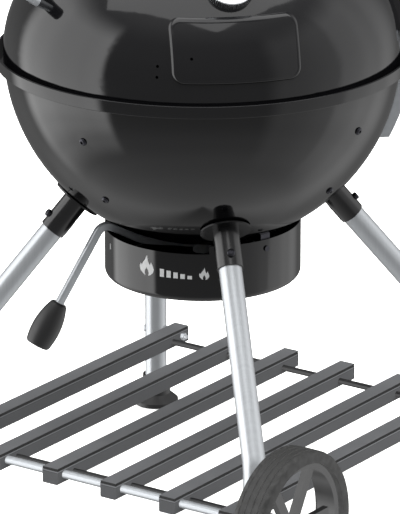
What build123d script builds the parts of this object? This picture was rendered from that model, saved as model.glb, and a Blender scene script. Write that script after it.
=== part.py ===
"""Kettle charcoal grill: bowl, hinged lid, bent tube legs, slatted shelf, ash catcher and two wheels.

Millimetres, +Z up, and the shelf slats run along X. Pieces are drawn about the bowl's axis, then saved
shifted along X so that the origin is on the floor in the middle of the outline.
"""
import math
import os

from build123d import *

os.makedirs("parts", exist_ok=True)

# Layout: polar angles about the bowl's axis, in degrees from +X
angle_back = 45.0
angle_left = 135.0
angle_front = 225.0
angle_right = 315.0
leg_angles = {"back": angle_back, "left": angle_left, "front": angle_front, "right": angle_right}
lever_angle = 145.0
bracket_count = 4
bracket_turn = -2.5

# Bowl
rim_height = 665.0
bowl_radius = 276.0
bowl_centre_rise = 3.0
bowl_wall = 1.8
band_reach = 11.0
band_height = 17.0
band_wall = 3.0
band_floor = 2.0
seat_rise = 0.9
seat_width = 10.0
seat_thickness = 3.0
vent_slot_count = 3
vent_slot_length = 62.0
vent_slot_width = 34.0
vent_slot_radius = 78.0

# Lid
lid_edge_gap = 0.4
lid_rise = 205.0
lid_wall = 1.6
lid_bead = 4.0
panel_lift = 4.0
panel_edge = 3.0
panel_width = 168.0
panel_height = 74.0
panel_corner = 12.0
panel_bottom = 31.0
probe_hole_radius = 2.0
probe_holes = [(-23.1, 35.0), (-23.1, 49.0), (-13.3, 61.0)]

# Lid damper
damper_hole_count = 3
damper_hole_radius = 13.0
damper_hole_circle = 37.0
damper_radius = 62.0
damper_thickness = 1.6
damper_gap = 0.4
damper_pin_radius = 4.0
damper_pin_head = 9.0
damper_pin_head_height = 2.5
damper_tab_radius = 5.0
damper_tab_height = 16.0

# Lid handle
handle_rise = 96.0
handle_post_span = 124.0
handle_post_radius = 6.5
handle_stand_off = 46.0
handle_grip_radius = 13.0
handle_grip_length = 176.0

# Thermometer
dial_rise = 138.0
dial_radius = 33.0
dial_case_height = 11.0
dial_bezel_width = 4.5
dial_floor = 3.0
dial_glass = 2.0
dial_glass_drop = 1.0
dial_plate = 0.8
needle_gap = 6.5
needle_width = 1.6
needle_thickness = 0.8
needle_cold_angle = 225.0
stem_radius = 3.0
stem_length = 46.0
stem_nut_radius = 9.0
stem_nut_height = 5.0

# Lid hinge
hinge_axis_reach = 30.0
hinge_axis_rise = 14.0
hinge_pin_radius = 4.0
hinge_lug_radius = 11.0
hinge_half_width = 30.0
hinge_plate = 3.0
hinge_web = 2.5
hinge_drop = 135.0
hinge_stand_off = 17.0
strap_top_rise = 74.0
strap_low_rise = 20.0

# Legs and sockets
leg_slope = 39.7
leg_radius = 16.0
leg_wall = 1.5
leg_reach = 397.0
leg_bend = 35.0
leg_top_gap = 14.0
socket_wall = 2.1
socket_length = 57.0
socket_bolt_from_end = 16.0
flange_radius = 35.0
flange_thickness = 2.2
foot_base_radius = 33.0
foot_base_height = 7.0
foot_neck_wall = 3.4
foot_edge = 2.0
foot_height = 46.0
foot_floor = 10.0

# Wheels and axle
wheel_radius = 114.0
tyre_width = 46.0
tyre_thickness = 17.0
hub_radius = 17.0
hub_length = 80.0
rim_thickness = 9.0
spoke_count = 6
spoke_width = 15.0
spoke_thickness = 9.0
axle_radius = 6.0
axle_overhang = 6.0
axle_cap_radius = 13.0
axle_cap_height = 9.0
leg_end_below_axle = 26.0
end_cap_height = 5.0

# Shelf
slat_count = 6
leg_slat_gap = 6.0
slat_width = 26.0
slat_height = 24.0
slat_wall = 1.6
slat_corner = 2.0
seam_drop = 1.4
seam_height = 1.8
seam_depth = 0.8
slat_overhang = 16.3
slat_cap = 4.0
crossbar_radius = 4.5
crossbar_inset = 22.7
crossbar_drop = 15.0
spacer_radius = 10.0

# Ash catcher
catcher_radius = 137.4
catcher_wall = 1.6
catcher_lip_gap = 8.6
catcher_height = 82.0
catcher_fillet = 9.0
lever_slot_clearance = 6.4
lever_slot_before = 24.0
lever_slot_after = 73.6
clip_angles = [254.5, 344.5, 74.5]
clip_width = 16.0
clip_thickness = 1.2
clip_reach = 30.0
clip_wall_gap = 0.6
stud_radius = 2.0
stud_head_radius = 4.0
stud_head_height = 2.0
stud_drop = 13.0

# Sweeper and lever, whose points are distances from the bowl's axis and heights above its lowest point
shaft_radius = 8.0
blade_width = 46.0
blade_reach = 118.0
blade_thickness = 2.0
blade_gap = 1.0
sweeper_hub_radius = 22.0
sweeper_hub_height = 14.0
lever_width = 10.0
lever_height = 11.0
lever_corner = 2.0
lever_hub_radius = 14.0
lever_points = [(0.0, -12.0), (90.0, 3.0), (148.0, 34.0), (240.3, -124.0)]
lever_radii = [60.0, 15.0]
grip_length = 67.0
grip_top_radius = 12.0
grip_belly_radius = 20.2
grip_end_radius = 17.5

# Grates and their brackets
upper_bolt_slope = 74.3
lower_bolt_slope = 52.3
bracket_width = 22.0
bracket_plate = 2.5
bracket_tab = 24.0
cook_grate_clearance = 4.0
coal_grate_clearance = 14.0
cook_wire_radius = 3.0
coal_wire_radius = 3.5
cook_wire_pitch = 22.0
coal_wire_pitch = 36.0
grate_seat_gap = 0.4

# Fasteners and fits
bolt_radius = 3.0
bolt_head_radius = 5.6
bolt_head_height = 3.4
nut_radius = 5.5
nut_height = 5.0
running_clearance = 0.05
slip_clearance = 0.1
moving_gap = 0.5

# Values that follow from the sizes above
bowl_centre = rim_height + bowl_centre_rise
seat_top = rim_height + seat_rise
lid_edge = seat_top + lid_edge_gap
lid_top = lid_edge + lid_rise
band_radius = bowl_radius + band_reach
hinge_axis_radius = bowl_radius + hinge_axis_reach
hinge_axis_height = rim_height + hinge_axis_rise
leg_corner = leg_reach / math.sqrt(2.0)
socket_radius = leg_radius + slip_clearance + socket_wall
foot_neck_radius = leg_radius + slip_clearance + foot_neck_wall
slat_centre = wheel_radius
shelf_top = slat_centre + slat_height / 2
slat_half_length = leg_corner + slat_overhang
slat_outer_face = leg_corner - leg_radius - leg_slat_gap
slat_inner_face = slat_outer_face - slat_width
slat_pitch = (2 * slat_outer_face - slat_width) / (slat_count - 1)
crossbar_offset = leg_corner - crossbar_inset
bowl_bottom = bowl_centre - bowl_radius
wheel_leg_bottom = wheel_radius - leg_end_below_axle
centre_shift = (wheel_radius - foot_base_radius) / 2
bracket_angles = [bracket_turn + 360.0 / bracket_count * i for i in range(bracket_count)]


def radial_plane(angle):
    """Vertical plane through the bowl's axis: local x is outward, local y is up."""
    c = math.cos(math.radians(angle))
    s = math.sin(math.radians(angle))
    return Plane(origin=(0, 0, 0), x_dir=(c, s, 0), z_dir=(s, -c, 0))


def polar_point(angle, reach, height):
    """Point at a polar angle, a distance from the bowl's axis and a height."""
    return Vector(reach * math.cos(math.radians(angle)), reach * math.sin(math.radians(angle)), height)


def bowl_plane(angle, slope, radius):
    """Plane on a sphere about the bowl's centre, its normal outward; slope is measured from straight down."""
    reach = math.sin(math.radians(slope))
    drop = math.cos(math.radians(slope))
    out = polar_point(angle, reach, -drop)
    along = Vector(-math.sin(math.radians(angle)), math.cos(math.radians(angle)), 0)
    return Plane(origin=Vector(0, 0, bowl_centre) + out * radius, x_dir=along, z_dir=out)


def lid_plane(angle, rise):
    """Plane on the lid's outer face at a height above its edge, its normal outward."""
    reach = bowl_radius * math.sqrt(1 - (rise / lid_rise) ** 2)
    out = polar_point(angle, reach / bowl_radius ** 2, rise / lid_rise ** 2)
    along = Vector(-math.sin(math.radians(angle)), math.cos(math.radians(angle)), 0)
    return Plane(origin=polar_point(angle, reach, lid_edge + rise), x_dir=along, z_dir=out)


def leg_path(angle, bottom):
    """Corner points of a leg's centre line: out of its socket, then straight down."""
    out = math.sin(math.radians(leg_slope))
    down = math.cos(math.radians(leg_slope))
    start = bowl_radius + leg_top_gap
    knee = leg_reach / out
    return [
        polar_point(angle, start * out, bowl_centre - start * down),
        polar_point(angle, leg_reach, bowl_centre - knee * down),
        polar_point(angle, leg_reach, bottom),
    ]


def sphere_height(radius, reach):
    """Height of the lower half of a sphere about the bowl's centre at a distance from its axis."""
    return bowl_centre - math.sqrt(radius ** 2 - reach ** 2)


def save(block, name):
    """Move a finished piece to the shared origin, label it and write it as its own file."""
    piece = block.part.moved(Location((centre_shift, 0, 0)))
    piece.label = name
    export_step(piece, f"parts/{name}.step")


# Solid form that trims what is seated on the lid
with BuildPart() as lid_core:
    with BuildSketch(Plane.XZ):
        with Locations((0, lid_edge)):
            Ellipse(bowl_radius, lid_rise)
            Rectangle(2 * bowl_radius, 2 * lid_rise, align=(Align.MAX, Align.CENTER), mode=Mode.SUBTRACT)
    revolve(axis=Axis.Z)

bolt_planes = [
    bowl_plane(angle, slope, bowl_radius)
    for angle in bracket_angles
    for slope in (upper_bolt_slope, lower_bolt_slope)
]

# Bowl: a deep spherical shell with a folded band and a seat for the lid
inner_radius = bowl_radius - bowl_wall
shaft_hole = shaft_radius + running_clearance
band_bottom = rim_height - band_height
seat_under = seat_top - seat_thickness
with BuildPart() as bowl:
    with BuildSketch(Plane.XZ):
        with BuildLine():
            outer_low = (shaft_hole, sphere_height(bowl_radius, shaft_hole))
            outer_high = (math.sqrt(bowl_radius ** 2 - (bowl_centre - band_bottom) ** 2), band_bottom)
            inner_high = (math.sqrt(inner_radius ** 2 - (bowl_centre - seat_under) ** 2), seat_under)
            inner_low = (shaft_hole, sphere_height(inner_radius, shaft_hole))
            RadiusArc(outer_low, outer_high, -bowl_radius)
            Polyline(
                outer_high,
                (band_radius, band_bottom),
                (band_radius, rim_height),
                (band_radius - band_wall, rim_height),
                (band_radius - band_wall, band_bottom + band_floor),
                (bowl_radius, band_bottom + band_floor),
                (bowl_radius, seat_top),
                (bowl_radius - seat_width, seat_top),
                (bowl_radius - seat_width, seat_under),
                inner_high,
            )
            RadiusArc(inner_high, inner_low, inner_radius)
            Line(inner_low, outer_low)
        make_face()
    revolve(axis=Axis.Z)
    band_edges = bowl.edges().filter_by(GeomType.CIRCLE)
    lip_edges = [e for e in band_edges if abs(e.radius - band_radius) < 0.01]
    fillet(lip_edges, band_wall / 3)
    with BuildSketch(Plane.XY.offset(bowl_centre)):
        with PolarLocations(vent_slot_radius, vent_slot_count, start_angle=lever_angle):
            SlotOverall(vent_slot_length, vent_slot_width)
    extrude(amount=-bowl_radius - bowl_wall, mode=Mode.SUBTRACT)
    for plane in bolt_planes:
        with BuildSketch(plane.offset(-2 * bowl_wall)):
            Circle(bolt_radius + slip_clearance)
        extrude(amount=3 * bowl_wall, mode=Mode.SUBTRACT)
save(bowl, "bowl")

# Brackets inside the bowl that carry the two grates, on the bolts that show outside
inner_reach = {
    slope: inner_radius * math.sin(math.radians(slope)) for slope in (upper_bolt_slope, lower_bolt_slope)
}
tab_top = {
    slope: bowl_centre - inner_radius * math.cos(math.radians(slope)) + bracket_width / 2
    for slope in (upper_bolt_slope, lower_bolt_slope)
}
bracket_slopes = {"cooking_grate": upper_bolt_slope, "charcoal_grate": lower_bolt_slope}
for name, slope in bracket_slopes.items():
    with BuildPart() as brackets:
        for angle in bracket_angles:
            plane = bowl_plane(angle, slope, inner_radius)
            with BuildSketch(plane.offset(-bowl_wall / 2)):
                Rectangle(bracket_width, bracket_width)
            extrude(amount=-2 * bracket_plate)
            with BuildSketch(radial_plane(angle)):
                with Locations((inner_reach[slope], tab_top[slope])):
                    Rectangle(2 * bracket_tab, bracket_plate, align=(Align.CENTER, Align.MAX))
            extrude(amount=bracket_width / 2, both=True)
        with Locations((0, 0, bowl_centre)):
            Sphere(inner_radius - 3 * slip_clearance, mode=Mode.INTERSECT)
        for angle in bracket_angles:
            with BuildSketch(bowl_plane(angle, slope, inner_radius)):
                Circle(bolt_radius + slip_clearance)
            extrude(amount=-4 * bracket_plate, mode=Mode.SUBTRACT)
    save(brackets, f"{name}_brackets")

with BuildPart() as bracket_bolts:
    for plane in bolt_planes:
        with BuildSketch(plane.offset(slip_clearance)):
            Circle(bolt_head_radius)
        extrude(amount=bolt_head_height)
        with BuildSketch(plane.offset(slip_clearance)):
            Circle(bolt_radius)
        extrude(amount=-bowl_wall - 2 * bracket_plate)
save(bracket_bolts, "bracket_bolts")

# Grates: a ring with parallel wires; the upper one passes the lid's seat, the lower one the bowl's wall
cook_level = tab_top[upper_bolt_slope] + grate_seat_gap + cook_wire_radius
coal_level = tab_top[lower_bolt_slope] + grate_seat_gap + coal_wire_radius
cook_grate_radius = bowl_radius - seat_width - cook_grate_clearance
coal_grate_radius = math.sqrt(inner_radius ** 2 - (bowl_centre - coal_level) ** 2) - coal_grate_clearance
for name, radius, wire, pitch, level in (
    ("cooking_grate", cook_grate_radius, cook_wire_radius, cook_wire_pitch, cook_level),
    ("charcoal_grate", coal_grate_radius, coal_wire_radius, coal_wire_pitch, coal_level),
):
    ring = radius - wire
    count = int((ring - pitch / 2) / pitch)
    with BuildPart() as grate:
        with Locations((0, 0, level)):
            Torus(ring, wire)
        for i in range(-count, count + 1):
            offset_y = i * pitch
            half = math.sqrt(ring ** 2 - offset_y ** 2)
            with BuildSketch(Plane.YZ.offset(-half)):
                with Locations((offset_y, level)):
                    Circle(wire * 0.9)
            extrude(amount=2 * half)
        with BuildSketch(Plane.XZ.offset(-ring)):
            with Locations((0, level)):
                Circle(wire * 0.95)
        extrude(amount=2 * ring)
    save(grate, name)

# Legs, their sockets, and the bolts that pin them together
foot_legs = ("back", "right")
wheel_legs = ("front", "left")
socket_end = bowl_radius + socket_length
socket_bolt_at = socket_end - socket_bolt_from_end
for name, angle in leg_angles.items():
    leg_bottom = wheel_leg_bottom if name in wheel_legs else foot_floor
    cross_hole = axle_radius if name in wheel_legs else bolt_radius
    points = leg_path(angle, leg_bottom)
    socket_bolt_plane = bowl_plane(angle, leg_slope, socket_bolt_at)
    bolt_up = Plane(origin=socket_bolt_plane.origin, x_dir=socket_bolt_plane.x_dir,
                    z_dir=socket_bolt_plane.z_dir.cross(socket_bolt_plane.x_dir))
    with BuildPart() as leg:
        with BuildLine():
            FilletPolyline(*points, radius=leg_bend)
        with BuildSketch(Plane(origin=points[0], z_dir=points[1] - points[0])):
            Circle(leg_radius)
            Circle(leg_radius - leg_wall, mode=Mode.SUBTRACT)
        sweep()
        with BuildSketch(bolt_up):
            Circle(bolt_radius + slip_clearance)
        extrude(amount=2 * leg_radius, both=True, mode=Mode.SUBTRACT)
        with BuildSketch(Plane.XZ):
            with Locations((points[2].X, slat_centre)):
                Circle(cross_hole + slip_clearance)
        extrude(amount=2 * leg_reach, both=True, mode=Mode.SUBTRACT)
    save(leg, f"leg_{name}")

    with BuildPart() as socket:
        with BuildSketch(bowl_plane(angle, leg_slope, bowl_radius - 2 * bowl_wall)):
            Circle(socket_radius)
        extrude(amount=socket_length + 2 * bowl_wall)
        with BuildSketch(bowl_plane(angle, leg_slope, bowl_radius + slip_clearance)):
            Circle(flange_radius)
        extrude(amount=flange_thickness)
        with BuildSketch(bowl_plane(angle, leg_slope, bowl_radius + leg_top_gap - slip_clearance)):
            Circle(leg_radius + slip_clearance)
        extrude(amount=socket_length, mode=Mode.SUBTRACT)
        with Locations((0, 0, bowl_centre)):
            Sphere(bowl_radius + slip_clearance, mode=Mode.SUBTRACT)
        with BuildSketch(bolt_up):
            Circle(bolt_radius + slip_clearance)
        extrude(amount=2 * socket_radius, both=True, mode=Mode.SUBTRACT)
    save(socket, f"leg_socket_{name}")

with BuildPart() as socket_bolts:
    for angle in leg_angles.values():
        plane = bowl_plane(angle, leg_slope, socket_bolt_at)
        up = plane.z_dir.cross(plane.x_dir)
        across = Plane(origin=plane.origin, x_dir=plane.x_dir, z_dir=up)
        with BuildSketch(across):
            Circle(bolt_radius)
        extrude(amount=socket_radius + bolt_head_height, both=True)
        with BuildSketch(across.offset(socket_radius + slip_clearance)):
            Circle(bolt_head_radius)
        extrude(amount=bolt_head_height)
        with BuildSketch(across.offset(-socket_radius - slip_clearance)):
            RegularPolygon(nut_radius, 6)
        extrude(amount=-nut_height)
save(socket_bolts, "socket_bolts")

# Feet on two of the legs, end caps on the two wheel legs
for name in foot_legs:
    base = polar_point(leg_angles[name], leg_reach, 0)
    with BuildPart() as foot:
        with BuildSketch(Plane(origin=base, x_dir=(1, 0, 0), z_dir=(0, -1, 0))):
            Polygon(
                (0, 0),
                (foot_base_radius - foot_edge, 0),
                (foot_base_radius, foot_edge),
                (foot_base_radius, foot_base_height),
                (foot_neck_radius + foot_edge, foot_base_height + foot_floor),
                (foot_neck_radius, foot_height),
                (leg_radius + slip_clearance, foot_height),
                (leg_radius + slip_clearance, foot_floor - slip_clearance),
                (0, foot_floor - slip_clearance),
                align=None,
            )
        revolve(axis=Axis(base, (0, 0, 1)))
    save(foot, f"foot_{name}")

for name in wheel_legs:
    base = polar_point(leg_angles[name], leg_reach, wheel_leg_bottom - slip_clearance)
    with BuildPart() as leg_end_cap:
        with BuildSketch(Plane(origin=base)):
            Circle(leg_radius)
        extrude(amount=-end_cap_height)
        with BuildSketch(Plane(origin=base)):
            Circle(leg_radius - leg_wall - slip_clearance)
        extrude(amount=2 * end_cap_height)
    save(leg_end_cap, f"leg_end_cap_{name}")

# Axle through the two wheel legs and the slat ends between them
leg_outer_face = leg_corner + leg_radius
hub_inner_face = leg_outer_face + moving_gap
hub_outer_face = hub_inner_face + hub_length
wheel_offset = hub_inner_face + hub_length / 2
axle_half = hub_outer_face + moving_gap + axle_overhang
axle_centre = Vector(-leg_corner, 0, wheel_radius)
axle_plane = Plane(origin=axle_centre, x_dir=(1, 0, 0), z_dir=(0, 1, 0))
axle_axis = Axis(axle_centre, (0, 1, 0))
with BuildPart() as axle:
    with BuildSketch(axle_plane):
        Circle(axle_radius)
    extrude(amount=axle_half, both=True)
save(axle, "axle")

with BuildPart() as axle_caps:
    for side in (-1, 1):
        with BuildSketch(axle_plane.offset(side * (hub_outer_face + moving_gap))):
            Circle(axle_cap_radius)
        extrude(amount=side * (axle_overhang + axle_cap_height / 2))
        with BuildSketch(axle_plane):
            Circle(axle_radius + slip_clearance)
        extrude(amount=side * (axle_half + slip_clearance), mode=Mode.SUBTRACT)
    cap_rims = axle_caps.edges().filter_by(GeomType.CIRCLE)
    outer_rims = [e for e in cap_rims if abs(e.center().Y) > axle_half + 1]
    fillet(outer_rims, axle_cap_height / 3)
save(axle_caps, "axle_caps")

# Wheels outside the wheel legs: a spoked plastic centre with a solid tyre
tyre_bed = wheel_radius - tyre_thickness
rim_bore = tyre_bed - rim_thickness
for name, side in (("front", -1), ("left", 1)):
    wheel_centre = axle_centre + Vector(0, side * wheel_offset, 0)
    wheel_plane = Plane(origin=wheel_centre, x_dir=(0, 1, 0), z_dir=(1, 0, 0))
    with BuildPart() as tyre:
        with BuildSketch(wheel_plane):
            with Locations((0, tyre_bed + tyre_thickness / 2)):
                RectangleRounded(tyre_width, tyre_thickness, tyre_thickness / 3)
        revolve(axis=axle_axis)
    save(tyre, f"tyre_{name}")

    with BuildPart() as wheel:
        with BuildSketch(wheel_plane):
            with Locations((0, tyre_bed - rim_thickness / 2)):
                Rectangle(tyre_width - tyre_thickness, rim_thickness)
        revolve(axis=axle_axis)
        with BuildSketch(axle_plane.offset(side * hub_inner_face)):
            Circle(hub_radius)
        extrude(amount=side * hub_length)
        with BuildSketch(axle_plane.offset(side * wheel_offset)):
            spoke_length = rim_bore - hub_radius + rim_thickness
            with PolarLocations((rim_bore + hub_radius) / 2, spoke_count):
                Rectangle(spoke_length, spoke_width)
        extrude(amount=spoke_thickness / 2, both=True)
        with BuildSketch(axle_plane):
            Circle(axle_radius + running_clearance)
        extrude(amount=2 * leg_reach, both=True, mode=Mode.SUBTRACT)
    save(wheel, f"wheel_{name}")

# Shelf: square-tube slats with a seam along both upper edges, threaded on the axle and two crossbars,
# and bolted to the foot legs
slat_rows = [(i - (slat_count - 1) / 2) * slat_pitch for i in range(slat_count)]
slat_tube_half = slat_half_length - slat_cap
seam_level = slat_height / 2 - seam_drop - seam_height / 2
seam_places = [(-slat_width / 2, seam_level), (slat_width / 2, seam_level)]
crossbar_height = shelf_top - crossbar_drop
for i, row in enumerate(slat_rows):
    end_plane = Plane(origin=(0, row, slat_centre), x_dir=(0, 1, 0), z_dir=(1, 0, 0))
    side_plane = Plane(origin=(0, row, 0), x_dir=(1, 0, 0), z_dir=(0, -1, 0))
    with BuildPart() as slat:
        with BuildSketch(end_plane):
            RectangleRounded(slat_width, slat_height, slat_corner)
            offset(amount=-slat_wall, kind=Kind.INTERSECTION, mode=Mode.SUBTRACT)
            with Locations(*seam_places):
                Rectangle(2 * seam_depth, seam_height, mode=Mode.SUBTRACT)
        extrude(amount=slat_tube_half, both=True)
        with BuildSketch(side_plane):
            with Locations((-crossbar_offset, crossbar_height), (crossbar_offset, crossbar_height)):
                Circle(crossbar_radius + slip_clearance)
            with Locations((-leg_corner, slat_centre)):
                Circle(axle_radius + slip_clearance)
            if i in (0, slat_count - 1):
                with Locations((leg_corner, slat_centre)):
                    Circle(bolt_radius + slip_clearance)
        extrude(amount=slat_width, both=True, mode=Mode.SUBTRACT)
    save(slat, f"slat_{i + 1}")

with BuildPart() as slat_caps:
    for row in slat_rows:
        for side in (-1, 1):
            cap_origin = (side * slat_tube_half, row, slat_centre)
            with BuildSketch(Plane(origin=cap_origin, x_dir=(0, 1, 0), z_dir=(1, 0, 0))):
                RectangleRounded(slat_width, slat_height, slat_corner)
                with Locations(*seam_places):
                    Rectangle(2 * seam_depth, seam_height, mode=Mode.SUBTRACT)
            extrude(amount=side * slat_cap)
save(slat_caps, "slat_caps")

for name, side in (("left", -1), ("right", 1)):
    crossbar_centre = (side * crossbar_offset, 0, crossbar_height)
    with BuildPart() as crossbar:
        with BuildSketch(Plane(origin=crossbar_centre, x_dir=(1, 0, 0), z_dir=(0, 1, 0))):
            Circle(crossbar_radius)
        extrude(amount=slat_outer_face, both=True)
    save(crossbar, f"crossbar_{name}")

with BuildPart() as shelf_bolts:
    for side in (-1, 1):
        bolt_plane = Plane(origin=(leg_corner, 0, slat_centre), x_dir=(1, 0, 0), z_dir=(0, side, 0))
        with BuildSketch(bolt_plane.offset(slat_inner_face - nut_height - bolt_head_height)):
            Circle(bolt_radius)
        extrude(amount=leg_outer_face - slat_inner_face + nut_height + 2 * bolt_head_height)
        with BuildSketch(bolt_plane.offset(slat_inner_face)):
            RegularPolygon(nut_radius, 6)
        extrude(amount=-nut_height)
        with BuildSketch(bolt_plane.offset(leg_outer_face)):
            Circle(bolt_head_radius)
        extrude(amount=bolt_head_height)
save(shelf_bolts, "shelf_bolts")

with BuildPart() as shelf_spacers:
    for x, hole in ((-leg_corner, axle_radius), (leg_corner, bolt_radius)):
        for side in (-1, 1):
            spacer_plane = Plane(origin=(x, 0, slat_centre), x_dir=(1, 0, 0), z_dir=(0, side, 0))
            with BuildSketch(spacer_plane.offset(slat_outer_face)):
                Circle(spacer_radius)
                Circle(hole + slip_clearance, mode=Mode.SUBTRACT)
            extrude(amount=leg_corner - slat_outer_face)
            with BuildSketch(Plane(origin=(x, side * leg_corner, slat_centre))):
                Circle(leg_radius + slip_clearance)
            extrude(amount=slat_height, both=True, mode=Mode.SUBTRACT)
save(shelf_spacers, "shelf_spacers")

# Ash catcher: an open drum with a lowered stretch of lip for the lever
catcher_lip = sphere_height(bowl_radius, catcher_radius) - catcher_lip_gap
catcher_bottom = catcher_lip - catcher_height
inside_reach, inside_rise = lever_points[1]
outside_reach, outside_rise = lever_points[2]
wall_share = (catcher_radius - inside_reach) / (outside_reach - inside_reach)
lever_at_wall = bowl_bottom + inside_rise + wall_share * (outside_rise - inside_rise)
slot_floor = lever_at_wall - lever_height / 2 - lever_slot_clearance
stud_planes = [
    Plane(origin=(0, 0, catcher_lip - stud_drop), x_dir=(0, 0, 1), z_dir=polar_point(angle, 1, 0))
    for angle in clip_angles
]
with BuildPart() as ash_catcher:
    with BuildSketch(Plane.XZ):
        with BuildLine():
            FilletPolyline(
                (0, catcher_bottom), (catcher_radius, catcher_bottom), (catcher_radius, catcher_lip),
                radius=catcher_fillet,
            )
            Line((catcher_radius, catcher_lip), (catcher_radius - catcher_wall, catcher_lip))
            FilletPolyline(
                (catcher_radius - catcher_wall, catcher_lip),
                (catcher_radius - catcher_wall, catcher_bottom + catcher_wall),
                (0, catcher_bottom + catcher_wall),
                radius=catcher_fillet - catcher_wall,
            )
            Line((0, catcher_bottom + catcher_wall), (0, catcher_bottom))
        make_face()
    revolve(axis=Axis.Z)
    with BuildSketch(radial_plane(lever_angle - lever_slot_before)):
        with Locations((catcher_radius, slot_floor)):
            Rectangle(4 * catcher_wall, catcher_height, align=(Align.CENTER, Align.MIN))
    revolve(axis=Axis.Z, revolution_arc=lever_slot_before + lever_slot_after, mode=Mode.SUBTRACT)
    for plane in stud_planes:
        with BuildSketch(plane):
            Circle(stud_radius + slip_clearance)
        extrude(amount=2 * catcher_radius, mode=Mode.SUBTRACT)
save(ash_catcher, "ash_catcher")

with BuildPart() as catcher_studs:
    for plane in stud_planes:
        with BuildSketch(plane.offset(catcher_radius - catcher_wall)):
            Circle(stud_radius)
        extrude(amount=catcher_wall + stud_head_height)
        with BuildSketch(plane.offset(catcher_radius + slip_clearance)):
            Circle(stud_head_radius)
        extrude(amount=stud_head_height)
save(catcher_studs, "catcher_studs")

clip_face = catcher_radius - catcher_wall - clip_wall_gap
with BuildPart() as catcher_clips:
    for angle in clip_angles:
        with BuildSketch(radial_plane(angle)):
            with Locations((clip_face, catcher_lip - clip_reach)):
                Rectangle(clip_thickness, 2 * clip_reach, align=(Align.MAX, Align.MIN))
        extrude(amount=clip_width / 2, both=True)
    with Locations((0, 0, bowl_centre)):
        Sphere(bowl_radius + slip_clearance, mode=Mode.SUBTRACT)
save(catcher_clips, "catcher_clips")

# Ash sweeper: blades on a shaft through the bowl's bottom, turned by the lever below
blade_radius = inner_radius - blade_gap
blade_inner = blade_radius - blade_thickness
hub_bottom = sphere_height(blade_inner, sweeper_hub_radius) + slip_clearance
lever_hub_low = bowl_bottom + lever_points[0][1] - lever_height
with BuildPart() as sweeper_blades:
    with Locations((0, 0, bowl_centre)):
        Sphere(blade_radius)
        Sphere(blade_inner, mode=Mode.SUBTRACT)
    with BuildSketch(Plane.XY.offset(bowl_centre)):
        Circle(sweeper_hub_radius)
        with PolarLocations(0, vent_slot_count, start_angle=lever_angle):
            Rectangle(blade_reach, blade_width, align=(Align.MIN, Align.CENTER))
        Circle(shaft_radius + slip_clearance, mode=Mode.SUBTRACT)
    extrude(amount=-bowl_radius, mode=Mode.INTERSECT)
save(sweeper_blades, "sweeper_blades")

with BuildPart() as sweeper_shaft:
    with BuildSketch(Plane.XY.offset(hub_bottom)):
        Circle(sweeper_hub_radius)
    extrude(amount=sweeper_hub_height)
    with BuildSketch(Plane.XY.offset(lever_hub_low)):
        Circle(shaft_radius)
    extrude(amount=hub_bottom - lever_hub_low)
save(sweeper_shaft, "sweeper_shaft")

lever_corners = [polar_point(lever_angle, reach, bowl_bottom + rise) for reach, rise in lever_points]
lever_side = radial_plane(lever_angle).z_dir
lever_start = lever_corners[1] - lever_corners[0]
with BuildPart() as lever:
    with BuildLine():
        FilletPolyline(*lever_corners, radius=lever_radii)
    with BuildSketch(Plane(origin=lever_corners[0], x_dir=lever_side, z_dir=lever_start)):
        RectangleRounded(lever_width, lever_height, lever_corner)
    sweep()
    with BuildSketch(Plane.XY.offset(lever_hub_low)):
        Circle(lever_hub_radius)
    extrude(amount=bowl_bottom - moving_gap - lever_hub_low)
    with BuildSketch(Plane.XY.offset(lever_hub_low - lever_height)):
        Circle(shaft_radius + slip_clearance)
    extrude(amount=4 * lever_height, mode=Mode.SUBTRACT)
save(lever, "lever")

lever_run = lever_corners[3] - lever_corners[2]
lever_down = lever_run.normalized()
grip_start = lever_corners[3] - lever_down * (grip_length - lever_height)
grip_end_round = lever_corner
with BuildPart() as lever_grip:
    with BuildSketch(Plane(origin=grip_start, x_dir=lever_down, z_dir=lever_side)):
        with BuildLine():
            ThreePointArc(
                (grip_end_round, grip_top_radius),
                (grip_length * 0.62, grip_belly_radius),
                (grip_length - grip_end_round, grip_end_radius),
            )
            Polyline(
                (grip_length - grip_end_round, grip_end_radius),
                (grip_length, grip_end_radius - grip_end_round),
                (grip_length, 0),
                (0, 0),
                (0, grip_top_radius - grip_end_round),
                (grip_end_round, grip_top_radius),
            )
        make_face()
    revolve(axis=Axis(grip_start, lever_down))
    with BuildSketch(Plane(origin=grip_start, x_dir=lever_side, z_dir=lever_down)):
        RectangleRounded(lever_width + 2 * slip_clearance, lever_height + 2 * slip_clearance, lever_corner)
    extrude(amount=grip_length - lever_height + slip_clearance, mode=Mode.SUBTRACT)
save(lever_grip, "lever_grip")

# Lid: a pressed dome with a raised plain panel at the front
lid_inner_radius = bowl_radius - lid_wall
lid_inner_rise = lid_rise - lid_wall
panel_plane = Plane(
    origin=(0, 0, rim_height + panel_bottom + panel_height / 2),
    x_dir=(-math.sin(math.radians(angle_front)), math.cos(math.radians(angle_front)), 0),
    z_dir=polar_point(angle_front, 1, 0),
)
with BuildPart() as lid_panel:
    with BuildSketch(Plane.XZ):
        with Locations((0, lid_edge)):
            Ellipse(bowl_radius + panel_lift, lid_rise + panel_lift)
            Ellipse(bowl_radius - lid_wall / 2, lid_rise - lid_wall / 2, mode=Mode.SUBTRACT)
            Rectangle(4 * bowl_radius, 4 * lid_rise, align=(Align.MAX, Align.CENTER), mode=Mode.SUBTRACT)
    revolve(axis=Axis.Z)
    with BuildSketch(panel_plane):
        RectangleRounded(panel_width, panel_height, panel_corner)
    extrude(amount=2 * bowl_radius, mode=Mode.INTERSECT)
    panel_face = lid_panel.faces().sort_by(SortBy.AREA)[-1]
    fillet(panel_face.edges(), panel_edge)

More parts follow.
